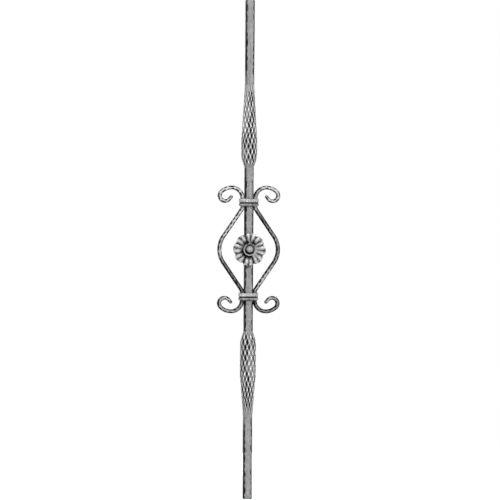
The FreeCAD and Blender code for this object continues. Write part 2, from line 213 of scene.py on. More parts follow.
# %% Helpers that start, end and run a tree
SOCKETS = {float: "NodeSocketFloat", int: "NodeSocketInt"}
WELD = 0.01 * MM


def start_tree(name, sizes):
    """Empty geometry tree with one named input for each size, and the wires that come from them."""
    tree = bpy.data.node_groups.new(name, "GeometryNodeTree")
    tree.interface.new_socket("Geometry", in_out="OUTPUT", socket_type="NodeSocketGeometry")
    tree.interface.new_socket("Finish", in_out="INPUT", socket_type="NodeSocketMaterial")
    tree.interface.new_socket("Path", in_out="INPUT", socket_type="NodeSocketObject")
    for label, value in sizes.items():
        socket = tree.interface.new_socket(label, in_out="INPUT", socket_type=SOCKETS[type(value)])
        socket.default_value = value
    entry = tree.nodes.new("NodeGroupInput")
    return tree, {socket.name: Wire(socket) for socket in entry.outputs if socket.name}


def end_tree(tree, geometry, place, relief, finish):
    """Store the relief, move the points, realize, smooth all but the ends and give the finish."""
    stored = add_node(tree, "GeometryNodeStoreNamedAttribute", Geometry=geometry, Name="relief", Value=relief)
    moved = add_node(tree, "GeometryNodeSetPosition", Geometry=stored, Position=place)
    merged = add_node(tree, "GeometryNodeMergeByDistance", Geometry=moved, Distance=WELD)
    whole = add_node(tree, "GeometryNodeRealizeInstances", Geometry=merged)
    side = Wire(geometry.socket.node.outputs["Side"])
    smooth = add_node(tree, "GeometryNodeSetShadeSmooth", Geometry=whole, Selection=side, Shade_Smooth=True)
    dressed = add_node(tree, "GeometryNodeSetMaterial", Geometry=smooth, Material=finish)
    leave = tree.nodes.new("NodeGroupOutput")
    plug(tree, dressed, leave.inputs["Geometry"])


def run_tree(piece_name, tree, values):
    """Run a tree once on a fresh object and keep the outcome as its plain mesh."""
    piece = bpy.data.objects.new(piece_name, bpy.data.meshes.new(piece_name))
    bpy.context.scene.collection.objects.link(piece)
    modifier = piece.modifiers.new("growth", "NODES")
    modifier.node_group = tree
    for socket in tree.interface.items_tree:
        if socket.in_out == "INPUT" and socket.name in values:
            modifier[socket.identifier] = values[socket.name]
    graph = bpy.context.evaluated_depsgraph_get()
    grown = bpy.data.meshes.new_from_object(
        piece.evaluated_get(graph), preserve_all_data_layers=True, depsgraph=graph)
    piece.modifiers.remove(modifier)
    piece.data = grown
    return piece


def settle(piece, node):
    """Let a finished piece stand for its solid, and print how large it is."""
    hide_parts(node)
    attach(piece, "root")
    piece.data.calc_loop_triangles()
    places = np.array([vertex.co for vertex in piece.data.vertices])
    box = in_mm([places.min(0).tolist(), places.max(0).tolist()])
    print(f"{piece.name}: {len(piece.data.loop_triangles)} triangles, box in mm: {box}")


# %% [markdown]
# ## Raw iron
#
# Iron that has been forged and left bare is never one grey. Dark scale stays where the hammer drove it in,
# flat faces are a dull grey, and what stands proud is rubbed bright. An image could be painted for that, but
# it would need unwrapped meshes and would blur close up. Here each mesh carries a number called relief: 0 at
# the bottom of a pit, about 0.6 on a plain face and 1 on a rubbed ridge. Relief also holds painted light:
# painted shade in hollows and creases and on sides turned from the lamps, and painted highlights on what
# stands proud. One shader group turns it into colour, roughness and height, with mottling and grain on top,
# so that all the finishes weather alike.

# %% The shared effect: scale and painted shade in the hollows, rub and painted highlights on the ridges
# Low relief is dark for scale and painted shade, high relief pale for rub and painted highlights.
GREY_BY_RELIEF = (
    (0.0, 0.008),  # bottom of a pit
    (0.3, 0.042),  # scale
    (0.6, 0.26),  # plain face
    (0.85, 0.52),  # worn edge
    (1.0, 0.78),  # rubbed ridge
)
BARE_FROM, BARE_RATE = 0.68, 1.2
PIT_ROUGHNESS, RIDGE_ROUGHNESS = 0.86, 0.5
GRAIN_HEIGHT = 0.6
BRUSHED = (1.0, 1.0, 0.06)  # draws the streaks out along the bar


def scale_shade_and_highlight_group():
    """Shader group: how forged iron looks by its relief, with painted shade and highlights, mottling, grain
    and brushed streaks.
    """
    group = bpy.data.node_groups.new("scale_shade_and_highlight", "ShaderNodeTree")
    for label, value in (("Relief", 0.6), ("Mottle", 0.3), ("Grain", 0.2), ("Streak", 0.2)):
        socket = group.interface.new_socket(label, in_out="INPUT", socket_type="NodeSocketFloat")
        socket.default_value = value
    for label, kind in (("Color", "NodeSocketColor"), ("Bare metal", "NodeSocketFloat"),
                        ("Roughness", "NodeSocketFloat"), ("Height", "NodeSocketFloat")):
        group.interface.new_socket(label, in_out="OUTPUT", socket_type=kind)
    entry = group.nodes.new("NodeGroupInput")
    given = {socket.name: Wire(socket) for socket in entry.outputs if socket.name}

    place = add_node(group, "ShaderNodeTexCoord", outlet="Object")
    drawn = add_node(group, "ShaderNodeMapping", Vector=place, Scale=BRUSHED)
    mottle = noise(group, place, scale=170.0, detail=3.0, Roughness=0.6)
    grain = noise(group, place, scale=900.0, detail=4.0, Roughness=0.7)
    streak = noise(group, drawn, scale=420.0, Roughness=0.5)
    relief = given["Relief"]
    for label, texture in (("Mottle", mottle), ("Grain", grain), ("Streak", streak)):
        relief = relief + (texture - 0.5) * given[label]

    ramp = group.nodes.new("ShaderNodeValToRGB")
    while len(ramp.color_ramp.elements) < len(GREY_BY_RELIEF):
        ramp.color_ramp.elements.new(0.5)
    for element, (at, grey) in zip(ramp.color_ramp.elements, GREY_BY_RELIEF):
        element.position = at
        element.color = (grey, grey, grey, 1.0)
    plug(group, relief, ramp.inputs["Fac"])

    leave = group.nodes.new("NodeGroupOutput")
    plug(group, Wire(ramp.outputs["Color"]), leave.inputs["Color"])
    plug(group, held((relief - BARE_FROM) * BARE_RATE), leave.inputs["Bare metal"])
    plug(group, between(PIT_ROUGHNESS, RIDGE_ROUGHNESS, held(relief)), leave.inputs["Roughness"])
    plug(group, grain * GRAIN_HEIGHT + mottle, leave.inputs["Height"])
    return group


scale_shade_and_highlight = scale_shade_and_highlight_group()
print("scale_shade_and_highlight:", len(scale_shade_and_highlight.nodes), "nodes")

# %% [markdown]
# The finishes themselves hold the Principled shader and what is the same all over it. Bar, scrolls, collars
# and rivet are forged and brushed along the bar. Petals and cup are pressed from sheet, which is more
# mottled, has a shallower grain and shows no brush marks. One shared group with other amounts in each
# finish keeps them akin.

# %% The two finishes
DULL_SPECULAR = 0.04


def iron_finish(name, bump, **amounts):
    """Raw iron whose look follows the mesh's relief; bump is the depth of its grain in metres."""
    finish = bpy.data.materials.new(name)
    finish.use_nodes = True
    tree = finish.node_tree
    shader = next(node for node in tree.nodes if node.type == "BSDF_PRINCIPLED")
    shader.inputs["Specular IOR Level"].default_value = DULL_SPECULAR
    scale = tree.nodes.new("ShaderNodeGroup")
    scale.node_tree = scale_shade_and_highlight
    relief = add_node(tree, "ShaderNodeAttribute", outlet="Fac", settings={"attribute_name": "relief"})
    plug(tree, relief, scale.inputs["Relief"])
    for label, amount in amounts.items():
        scale.inputs[label].default_value = amount
    for outlet, socket in (("Color", "Base Color"), ("Bare metal", "Metallic"), ("Roughness", "Roughness")):
        tree.links.new(scale.outputs[outlet], shader.inputs[socket])
    dent = add_node(tree, "ShaderNodeBump", Distance=bump, Height=Wire(scale.outputs["Height"]))
    plug(tree, dent, shader.inputs["Normal"])
    return finish


forged_iron = iron_finish("raw_forged_iron", bump=0.3 * MM, Mottle=0.3, Grain=0.25, Streak=0.25)
pressed_iron = iron_finish("raw_pressed_iron", bump=0.2 * MM, Mottle=0.4, Grain=0.25, Streak=0.0)
print("finishes:", forged_iron.name, pressed_iron.name)

# %% [markdown]
# ## Hammer blows
#
# The smith breaks every sharp corner with a row of blows. Each blow leaves a shallow scallop, and two
# scallops meet in a crest. A plain noise would give soft waves without crests. A Voronoi texture in one
# dimension gives both: cells of uneven length, and the distance to the nearest edge of a cell, which is
# nothing on a crest and largest in the middle of a blow. A second helper marks where a corner is cut, with a
# ragged border, because scale and painted shade go there.

# %% Uneven scallops along a corner
LANE_STEP = 31.7  # how far apart two rows read the texture
BLOW_HALF = 0.45  # from a crest to the middle of a blow, in blows
LIGHTEST_BLOW = 0.35
RAGGEDNESS = 0.9


def hammer_row(tree, along, lane, seed, unevenness):
    """Depth of a row of blows from 0 on the crests to 1; along counts blows, lane tells the rows apart."""
    cells = {"W": along + lane * LANE_STEP + seed, "Scale": 1.0, "Randomness": unevenness}
    edge = add_node(tree, "ShaderNodeTexVoronoi", "Distance",
                    {"voronoi_dimensions": "1D", "feature": "DISTANCE_TO_EDGE"}, **cells)
    colour = add_node(tree, "ShaderNodeTexVoronoi", "Color",
                      {"voronoi_dimensions": "1D", "feature": "F1"}, **cells)
    force = split(tree, colour)[0]
    short_of_middle = 1.0 - held(edge / BLOW_HALF)
    return (1.0 - short_of_middle * short_of_middle) * between(LIGHTEST_BLOW, 1.0, force)


def corner_mask(tree, flat, cut, body, width, start, scale):
    """1 where a corner is cut and 0 on the flat faces, with a ragged border of some width."""
    ragged = noise(tree, body, scale) - 0.5
    return eased((flat - cut) / width + start + ragged * RAGGEDNESS)


# %% [markdown]
# ## The bar and its swellings
#
# On the real object bar and swellings are one forging. A box with two turned forms set into it would show
# the joints, so the bar is one tube of points in one tree: each point gets a level along the bar and a
# distance from its axis. The net on the swellings needs the most rows of points, so the rows are shared out
# unevenly: a sixth to the plain middle, two thirds to the swellings and a sixth to the plain ends. Both end
# faces are closed by a few rings of faces.

# %% Points of the bar
BAR_LENGTH = round((cad_box[1][2] - cad_box[0][2]) / MM, 1)
BAR_SIDE = 16.0
NEVER_ZERO = 0.001
bar_tree, size = start_tree("hammered_bar", {
    "Length": BAR_LENGTH, "Side": BAR_SIDE, "Corner flat": 2.6, "Blow length": 15.0, "Blow depth": 1.4,
    "Swelling start": 148.0, "Swelling length": 152.0, "Swelling diameter": 29.0, "Blunt end": 24.0,
    "Upper full": 26.0, "Lower full": 54.0, "Strands": 12.0, "Net pitch": 19.0, "Pit depth": 2.0,
    "Strand width": 0.43, "Points round": 128, "Rows": 740, "End rings": 4, "Row share": 0.17,
    "Seed": 3.0, "Scale and shade seed": 403.5, "Net seed": 785.75,
})
tube = add_node(bar_tree, "GeometryNodeMeshCylinder", settings={"fill_type": "TRIANGLE_FAN"}, Radius=1.0,
                Depth=2.0, Vertices=size["Points round"], Side_Segments=size["Rows"],
                Fill_Segments=size["End rings"])
east, north, row = point_place(bar_tree)
ring = root(east * east + north * north)
east, north = (way / ring.math("MAXIMUM", NEVER_ZERO) for way in (east, north))
angle = north.math("ARCTAN2", east)
across, beside = east.math("ABSOLUTE"), north.math("ABSOLUTE")

plain_rows, swelling_rows = size["Row share"], 1.0 - size["Row share"] * 2.0
plain_end = size["Length"] * 0.5 - size["Swelling start"] - size["Swelling length"]
from_middle, rows_before = 0.0, 0.0
for rows, length in ((plain_rows, size["Swelling start"]), (swelling_rows, size["Swelling length"]),
                     (plain_rows, plain_end)):
    from_middle = from_middle + held((row.math("ABSOLUTE") - rows_before) / rows) * length
    rows_before = rows_before + rows
level = from_middle * row.math("SIGN")
print("bar:", len(bar_tree.nodes), "nodes place its rows")

# %% [markdown]
# The section of the bar is a square whose corners the hammer has cut. Seen from the axis, the flat face lies
# at one distance and the cut corner at another, and the nearer of the two counts. A smooth minimum picks it
# and leaves no knife edge between them. A slow noise then makes the faces a little hollow here and there.

# %% Square section with hammered corners
CORNER_SOFTNESS = 0.5
FACE_HOLLOW = 0.3
half = size["Side"] * 0.5
crest = half * math.sqrt(2) - size["Corner flat"] * 0.5
flat = half / across.math("MAXIMUM", beside)


def corner_cut(depth):
    """Distance of a corner that is cut to a depth, in the direction of each point."""
    return (crest - depth) * math.sqrt(2) / (across + beside)


quadrant = (angle / (math.pi / 2)).math("FLOOR")
blow = hammer_row(bar_tree, level / size["Blow length"], quadrant, size["Seed"], unevenness=0.9)
cut = corner_cut(blow * size["Blow depth"])
body = join(bar_tree, east * half, north * half, level)
uneven = noise(bar_tree, body, scale=0.07)
hollow = sharpened(uneven, contrast=1.6, threshold=0.4)
square = flat.math("SMOOTH_MIN", cut, CORNER_SOFTNESS) - hollow * FACE_HOLLOW
print("bar:", len(bar_tree.nodes), "nodes with its square section")

# %% [markdown]
# The bar is painted dark in the cut corners, as scale and painted shade, and most of all on its sides, as
# painted shade, the left side more than the right. The front was brushed. Scale also comes off in long
# flakes, so patches drawn out along the bar say where the dark is kept. Their seed was picked so that the
# dark stretches lie about where the photograph shows them.

# %% Where the bar is painted dark: scale and painted shade
STRETCH_LENGTH, STRETCHES_ROUND = 55.0, 2.0
# Painted shade: the sides are darker than the front, the left side most.
LEFT_SHADE, RIGHT_SHADE = 1.0, 0.44
SIDE_SHARPNESS, SIDE_START = 3.0, 0.2
corner = corner_mask(bar_tree, flat, cut, body, width=1.5, start=0.35, scale=0.3)
stretch = join(bar_tree, east * STRETCHES_ROUND, north * STRETCHES_ROUND,
               level / STRETCH_LENGTH + size["Scale and shade seed"])
scale_and_shade_patch = patches(bar_tree, stretch, contrast=3.0, threshold=0.8)
is_right = east.math("GREATER_THAN", 0.0)
flank = eased((across - beside) * SIDE_SHARPNESS + SIDE_START) * between(LEFT_SHADE, RIGHT_SHADE, is_right)
print("bar:", len(bar_tree.nodes), "nodes with its scale")

# %% [markdown]
# A swelling grows out of the square into a round, blunt towards the middle of the bar and slender away from
# it. Both swellings lie at the same distance from the middle, so one rule on that distance makes them both.
# Only the stretch of full thickness differs: it is short in the upper swelling and long in the lower.

# %% Rule of the swellings
far = from_middle - size["Swelling start"]
to_thin_end = size["Swelling length"] - far
in_swelling = far.math("GREATER_THAN", 0.0) * to_thin_end.math("GREATER_THAN", 0.0)
full = between(size["Lower full"], size["Upper full"], level.math("GREATER_THAN", 0.0))
rounded = (held(far / size["Blunt end"]) * (math.pi / 2)).math("SINE")
slender = held(to_thin_end / (size["Swelling length"] - size["Blunt end"] - full))
stock = flat.math("SMOOTH_MIN", corner_cut(size["Blow depth"]), CORNER_SOFTNESS)
round_radius = between(stock, size["Swelling diameter"] * 0.5, rounded.math("MINIMUM", slender))
print("bar:", len(bar_tree.nodes), "nodes with its swellings")

# %% [markdown]
# The net is sunk into the swellings: two sets of strands wind round in opposite directions, and the diamonds
# between them are driven in. Wires could be wound round a smooth form instead, but the strands are the
# forging's own skin, so the diamonds are pressed into the same points. The strands sway a little, and
# patches say which diamonds were struck hard and which were barely touched.

# %% The net on the swellings
SWAY, STRAND_SOFTNESS = 0.75, 0.15
NET_STRETCH_LENGTH, NET_STRETCHES_ROUND = 40.0, 1.2
LIGHTEST_PIT = 0.25
BLUNT_FADE, THIN_FADE = 5.0, 30.0
turns = angle * size["Strands"] / (2 * math.pi)
climb = far / size["Net pitch"]
sway = (noise(bar_tree, body, scale=0.06, detail=1.0) - 0.5) * SWAY


def strand(place):
    """Height of the strands of one winding, from 0 in the gaps to 1 on the middle of a strand."""
    off = ((place + sway).math("FRACT") - 0.5).math("ABSOLUTE")
    aside = held((0.5 - off) / size["Strand width"])
    return (aside * math.pi).math("COSINE") * 0.5 + 0.5


right_hand, left_hand = strand(turns + climb), strand(turns - climb)
net = held(right_hand.math("SMOOTH_MAX", left_hand, STRAND_SOFTNESS))
inside = held(far / BLUNT_FADE) * held(to_thin_end / THIN_FADE)
stretch = join(bar_tree, east * NET_STRETCHES_ROUND, north * NET_STRETCHES_ROUND,
               level / NET_STRETCH_LENGTH + size["Net seed"])
struck = patches(bar_tree, stretch, contrast=3.6, threshold=1.2)
sunk = (1.0 - net) * inside * between(LIGHTEST_PIT, 1.0, struck)
print("bar:", len(bar_tree.nodes), "nodes with its net")

# %% [markdown]
# Now the rules are put together. The outermost row of points draws in a little, which breaks the edges of
# both ends, and the rings of the end faces crowd towards the edge. The relief starts at that of a plain
# face. It falls on the sides as painted shade, in the corners and in the pits as scale and painted shade, and
# rises where two strands cross, as rub and a painted highlight.

# %% The bar's mesh
END_BEVEL, RING_CROWDING = 1.0, 0.25
CAP_RING = 0.99  # points inside this share of the tube's radius lie on an end face
SHALLOW_PIT, DEEP_PIT = 0.7, 1.3
PLAIN_FACE, SIDE_SHADE_ALL, CORNER_DULL, END_FACE = 0.62, 0.06, 0.1, 0.5
SIDE_SHADE_IN_PATCHES, CORNER_SCALE_AND_SHADE, BLOW_SCALE_AND_SHADE, LEAST_SCALE_AND_SHADE = 0.33, 0.3, 0.3, 0.3
STRAND_FACE, CROSSING_RUB_AND_HIGHLIGHT, PIT_DARK = 0.66, 0.7, 0.95
SCALE_AND_SHADE_FADE, NET_FADE = 32.0, 8.0
swollen = round_radius - sunk * size["Pit depth"] * between(SHALLOW_PIT, DEEP_PIT, uneven)
short_of_end = held((size["Length"] * 0.5 - from_middle) / END_BEVEL)
radius = between(square, swollen, in_swelling) - (1.0 - short_of_end) * END_BEVEL
radius = radius * ring.math("POWER", RING_CROWDING)

off_swelling = held(-to_thin_end / SCALE_AND_SHADE_FADE).math("MAXIMUM", far.math("LESS_THAN", 0.0))
scale_and_shade_share = between(LEAST_SCALE_AND_SHADE, 1.0, scale_and_shade_patch) * off_swelling
# The sides are painted shade; corners and blows are scale and painted shade.
dark = flank * SIDE_SHADE_IN_PATCHES + corner * (CORNER_SCALE_AND_SHADE + blow * BLOW_SCALE_AND_SHADE)
bar_relief = PLAIN_FACE - flank * SIDE_SHADE_ALL - scale_and_shade_share * dark - corner * CORNER_DULL
# Pits are painted dark as scale and painted shade, crossings pale as rub and a painted highlight.
net_relief = STRAND_FACE + right_hand * left_hand * inside * uneven * CROSSING_RUB_AND_HIGHLIGHT - sunk * PIT_DARK
relief = between(bar_relief, net_relief, eased(far / NET_FADE) * eased(to_thin_end / NET_FADE))
relief = between(relief, END_FACE, ring.math("LESS_THAN", CAP_RING))
placed = join(bar_tree, east * radius * MM, north * radius * MM, (level + size["Length"] * 0.5) * MM)
end_tree(bar_tree, tube, placed, relief, size["Finish"])
hammered_bar = run_tree("hammered_bar", bar_tree, {"Finish": forged_iron})
settle(hammered_bar, "main_bar")

# %% [markdown]
# ## The scrolls
#
# Each scroll is a flat bar bent into half a lyre: a bow in the middle, a neck at each collar, and a curl at
# both ends. It could be drawn by hand with a curve's handles, but a smith bends a bar by runs and radii, so
# the centreline is a chain of straight runs and bends. A Bezier curve holds it with one point at the end of
# each run and of each bend of 60 degrees or less. We work out the upper half and mirror it.

# %% Runs and bends of a scroll
BAR_HALF, MIDDLE = BAR_SIDE / 2, BAR_LENGTH / 2
SCROLL_THICK, SCROLL_DEPTH = 7.0, 12.0
COLLAR_MIDDLE, COLLAR_HEIGHT = 85.0, 13.4  # the first is counted from the bar's middle
NECK_GAP, NECK_BEND = 1.0, 10.0
BOW_REACH, BOW_BEND = 45.3, 42.0  # from the bar's face to the middle of the bow, and its radius
RISE, SHOULDER, SHOULDER_TURN = 20.0, 27.5, 42.0
EYE, TIP_TURN, TIP_RUN = 10.0, 50.0, 8.0
LARGEST_BEND = 60


def scroll_moves():
    """Runs (length, None) and bends (radius, turn in degrees) from the bow up to the curl's tip."""
    neck = BAR_HALF + SCROLL_THICK / 2
    straight_from = COLLAR_MIDDLE - COLLAR_HEIGHT / 2 - NECK_GAP
    sideways = neck + NECK_BEND - (BAR_HALF + BOW_REACH - BOW_BEND)
    span = math.hypot(sideways, straight_from)
    lean = math.atan2(straight_from, sideways) + math.asin((BOW_BEND + NECK_BEND) / span)
    turn = math.degrees(lean) - 90
    arm = math.sqrt(span ** 2 - (BOW_BEND + NECK_BEND) ** 2)
    return [(BOW_BEND, turn), (arm, None), (NECK_BEND, -turn), (COLLAR_HEIGHT + NECK_GAP, None),
            (RISE, -90.0), (SHOULDER, -SHOULDER_TURN), (EYE, SHOULDER_TURN - 180), (EYE, -TIP_TURN),
            (TIP_RUN, None)]


def half_scroll():
    """Bezier points up one half: [place, heading, handle before, handle after], in millimetres."""
    place, heading = Vector((BAR_HALF + BOW_REACH, 0.0)), math.pi / 2
    points = [[place, heading, 0.0, 0.0]]
    for length, turn in scroll_moves():
        pieces = 1 if turn is None else math.ceil(abs(turn) / LARGEST_BEND)
        for _ in range(pieces):
            if turn is None:
                reach = length / 3
                place = place + Vector((math.cos(heading), math.sin(heading))) * length
            else:
                step = math.radians(turn) / pieces
                side = math.copysign(length, turn)
                reach = abs(4 / 3 * math.tan(step / 4) * length)
                centre = place + Vector((-math.sin(heading), math.cos(heading))) * side
                heading += step
                place = centre + Vector((math.sin(heading), -math.cos(heading))) * side
            points[-1][3] = reach
            points.append([place, heading, reach, 0.0])
    return points


print("half a scroll:", len(half_scroll()), "Bezier points")

# %% [markdown]
# Two paths are needed, one for each side, and later another for the collars. So one helper makes a curve
# object from places, directions and the lengths of the handles. The left path is the right one mirrored, with
# its rows still counted from the lower tip to the upper.

# %% Paths of both scrolls


def bezier_path(name, stops, resolution):
    """Curve object through stops: (place, direction, handle before, handle after), in millimetres."""
    curve = bpy.data.curves.new(name, "CURVE")
    curve.dimensions = "3D"
    spline = curve.splines.new("BEZIER")
    spline.bezier_points.add(len(stops) - 1)
    spline.resolution_u = resolution
    for point, (place, way, before, after) in zip(spline.bezier_points, stops):
        point.co = place * MM
        point.handle_left = (place - way * before) * MM
        point.handle_right = (place + way * after) * MM
    path = bpy.data.objects.new(name, curve)
    bpy.context.scene.collection.objects.link(path)
    print(f"{name}: {len(stops)} points, {spline.calc_length() / MM:.1f} mm long")
    return path


def scroll_path(name, hand):
    """Path of a whole scroll from its lower tip to its upper; hand is 1 on the right and -1 on the left."""
    bow, *upper = half_scroll()
    bow[2] = bow[3]
    lower = [[Vector((spot.x, -spot.y)), math.pi - heading, after, before]
             for spot, heading, before, after in reversed(upper)]
    stops = []
    for spot, heading, before, after in [*lower, bow, *upper]:
        way = Vector((hand * math.cos(heading), 0.0, math.sin(heading)))
        stops.append((Vector((hand * spot.x, 0.0, spot.y)), way, before, after))
    return bezier_path(name, stops, resolution=32)


right_path, left_path = scroll_path("right_path", 1), scroll_path("left_path", -1)

# %% [markdown]
# The bar of a scroll is a tube again, this time bent along its path: each row of points asks the curve for
# its place and its direction. A bevelled curve would be quicker, but it couldn't carry the hammer blows.

# %% Points of the scrolls


def along_curve(tree, curve, share):
    """Place and direction of a curve at a share of its length, as three numbers each."""
    place = add_node(tree, "GeometryNodeSampleCurve", "Position", {"mode": "FACTOR", "use_all_curves": True},
                     Curves=curve, Factor=share)
    return split(tree, place), split(tree, Wire(place.socket.node.outputs["Tangent"]))


scroll_tree, size = start_tree("hammered_scroll", {
    "Thickness": SCROLL_THICK, "Depth": SCROLL_DEPTH, "Edge flat": 1.4, "Blow length": 10.0,
    "Blow depth": 1.7, "Tip thickness": 5.0, "Tip length": 19.0, "Collar middle": COLLAR_MIDDLE,
    "Collar hold": 8.0, "Height": MIDDLE, "Points round": 56, "Rows": 460, "Seed": 1.0, "Scale and shade seed": 548.5,
})
tube = add_node(scroll_tree, "GeometryNodeMeshCylinder", settings={"fill_type": "TRIANGLE_FAN"}, Radius=1.0,
                Depth=1.0, Vertices=size["Points round"], Side_Segments=size["Rows"])
east, north, level = point_place(scroll_tree)
angle = north.math("ARCTAN2", east)
across, beside = east.math("ABSOLUTE"), north.math("ABSOLUTE")
path_curve = add_node(scroll_tree, "GeometryNodeObjectInfo", "Geometry", Object=size["Path"])
path_length = add_node(scroll_tree, "GeometryNodeCurveLength", Curve=path_curve) / MM
(spot_x, _, spot_z), (way_x, _, way_z) = along_curve(scroll_tree, path_curve, level + 0.5)
along = (level + 0.5) * path_length
from_bow = level.math("ABSOLUTE") * path_length
to_tip = path_length * 0.5 - from_bow
print("scrolls:", len(scroll_tree.nodes), "nodes place their rows")

# %% [markdown]
# The section is a rectangle with hammered edges. It thins out towards the tips, where it ends in a rounded
# nose, and where a collar holds the scroll the hammer has left it alone. The rule is that of the bar: the
# nearer of flat face and cut edge counts.

# %% Section of the scrolls
THINNING, NOSE, BLUNTNESS = 1.4, 2.0, 0.2
NEAR_BAR = 20.0  # only this close to the bar can a collar hold the scroll
thinned = (1.0 - held(to_tip / size["Tip length"])).math("POWER", THINNING)
thick = between(size["Thickness"], size["Tip thickness"], thinned) * 0.5
deep = size["Depth"] * 0.5
past_collar = ((spot_z / MM).math("ABSOLUTE") - size["Collar middle"]).math("ABSOLUTE") - size["Collar hold"]
free = held(past_collar.math("MAXIMUM", (spot_x / MM).math("ABSOLUTE") - NEAR_BAR))
quadrant = (angle / (math.pi / 2)).math("FLOOR")
blow = hammer_row(scroll_tree, along / size["Blow length"], quadrant, size["Seed"], unevenness=0.7) * free
flat = (thick / across.math("MAXIMUM", NEVER_ZERO)).math("MINIMUM", deep / beside.math("MAXIMUM", NEVER_ZERO))
cut = (thick + deep - size["Edge flat"] - blow * size["Blow depth"]) / (across + beside)
short_of_nose = 1.0 - held(to_tip / NOSE + BLUNTNESS)
nose = root(1.0 - short_of_nose * short_of_nose)
radius = flat.math("SMOOTH_MIN", cut, CORNER_SOFTNESS) * nose * MM
print("scrolls:", len(scroll_tree.nodes), "nodes with their section")

# %% [markdown]
# Bows and curls stand out furthest and are rubbed brightest. The arms between them are painted darker in
# stretches, as scale and painted shade, and a seed for each side puts those about where the photograph shows
# them. The sides of the bar are painted with shade. The hammered edges are dark with scale and painted shade,
# and darkest where a blow went deep. Both lyres come from one tree with other seeds and paths.

# %% The scrolls' meshes
SCROLL_FACE, SCROLL_RUB, SCALE_AND_SHADE_DARK, FLANK_DARK = 0.8, 0.07, 0.36, 0.2
FLANK_SHARPNESS, FLANK_START = 9.0, 0.3
EDGE_DARK, EDGE_RUB, BLOW_DARK = 0.28, 0.06, 0.6
CURL_FROM, CURL_FADE, BOW_TO, BOW_FADE = 104.0, 20.0, 30.0, 15.0  # counted from the bow's middle
SCALE_STRETCH, OFF_GRID = 60.0, (0.4, 0.3)  # noise is flat on its grid, so it is read beside it
body = join(scroll_tree, east * thick, north * deep, along + size["Seed"])
corner = corner_mask(scroll_tree, flat, cut, body, width=1.6, start=0.3, scale=0.35)
flank = eased((across / thick - beside / deep) * FLANK_SHARPNESS + FLANK_START)
stretch = join(scroll_tree, *OFF_GRID, along / SCALE_STRETCH + size["Scale and shade seed"])
scale_and_shade_patch = patches(scroll_tree, stretch, contrast=3.0, threshold=1.0)
rubbed = held((from_bow - CURL_FROM) / CURL_FADE) + held((BOW_TO - from_bow) / BOW_FADE)
# Edges get scale and painted shade, and the sides painted shade.
edge_dark = corner * (EDGE_DARK - rubbed * EDGE_RUB + blow * BLOW_DARK)
relief = SCROLL_FACE + rubbed * SCROLL_RUB - scale_and_shade_patch * SCALE_AND_SHADE_DARK - flank * FLANK_DARK - edge_dark
relief = between(relief, END_FACE, (across + beside).math("LESS_THAN", CAP_RING))
out, back = east * radius, north * radius
placed = join(scroll_tree, spot_x + way_z * out, back, spot_z - way_x * out + size["Height"] * MM)
end_tree(scroll_tree, tube, placed, relief, size["Finish"])

for side, path, seed, scale_and_shade_seed in (("left", left_path, 1.0, 548.5), ("right", right_path, 57.0, 855.0)):
    values = {"Finish": forged_iron, "Path": path, "Seed": seed, "Scale and shade seed": scale_and_shade_seed}
    settle(run_tree(f"{side}_lyre", scroll_tree, values), f"{side}_scroll")
    bpy.data.objects.remove(path)

# %% [markdown]
# ## The collars
#
# A collar is a strip with two rounded beads, wrapped hot round the bar and both scrolls, its ends meeting at
# the back. A ring cut from a block would do from afar, but it would have no seam. So we wrap it as the smith
# does, and first draw the way round: a rectangle with rounded corners that starts and ends at the seam.

# %% Way round the bar and both scrolls
COLLAR_CORNER, COLLAR_SEAM = 3.0, 0.6


def collar_path(name):
    """Path round bar and scrolls, clockwise from above, from the seam at the back to the seam again."""
    wide, deep = BAR_HALF + SCROLL_THICK, BAR_HALF
    reach = 4 / 3 * math.tan(math.pi / 8) * COLLAR_CORNER
    to_right, to_back = Vector((1, 0, 0)), Vector((0, 1, 0))
    stops = [(Vector((COLLAR_SEAM / 2, deep, 0)), to_right, 0, 1)]
    for x_way, y_way, before, after in ((1, 1, to_right, -to_back), (1, -1, -to_back, -to_right),
                                        (-1, -1, -to_right, to_back), (-1, 1, to_back, to_right)):
        tip = Vector((x_way * wide, y_way * deep, 0))
        stops.append((tip - before * COLLAR_CORNER, before, 1, reach))
        stops.append((tip + after * COLLAR_CORNER, after, reach, 1))
    stops.append((Vector((-COLLAR_SEAM / 2, deep, 0)), to_right, 1, 0))
    return bezier_path(name, stops, resolution=16)


wrap_path = collar_path("wrap_path")

# %% [markdown]
# Here the tube's angle runs round the section of the strip and its length runs along the wrap. The inner
# half of the section stays flat on what it binds, and the outer half bulges into a tall bead above and a
# low one below, with a groove between them. The beads are worn unevenly.

# %% Moulded section of the collars
collar_tree, size = start_tree("moulded_collar", {
    "Strip": 1.3, "Bead": 1.3, "Upper bead": 7.0, "Lower bead": 4.4, "Groove": 2.0, "Height": MIDDLE,
    "Groove relief": 0.14, "Lower shade": 0.18, "Points round": 72, "Rows": 240,
})
strip = add_node(collar_tree, "GeometryNodeMeshCylinder", Radius=1.0, Depth=1.0,
                 Vertices=size["Points round"], Side_Segments=size["Rows"])
east, north, level = point_place(collar_tree)
path_curve = add_node(collar_tree, "GeometryNodeObjectInfo", "Geometry", Object=size["Path"])
(spot_x, spot_y, _), (way_x, way_y, _) = along_curve(collar_tree, path_curve, level + 0.5)
is_outer = east.math("GREATER_THAN", 0.0)
tall = size["Upper bead"] + size["Lower bead"] + size["Groove"]
up = (held(north.math("ARCSINE") / math.pi + 0.5) - 0.5) * tall


def bead(height, from_edge):
    """Roundness of a bead of that height, 1 on its middle and 0 outside it."""
    off = (from_edge - height * 0.5) / (height * 0.5)
    return root(1.0 - off * off)


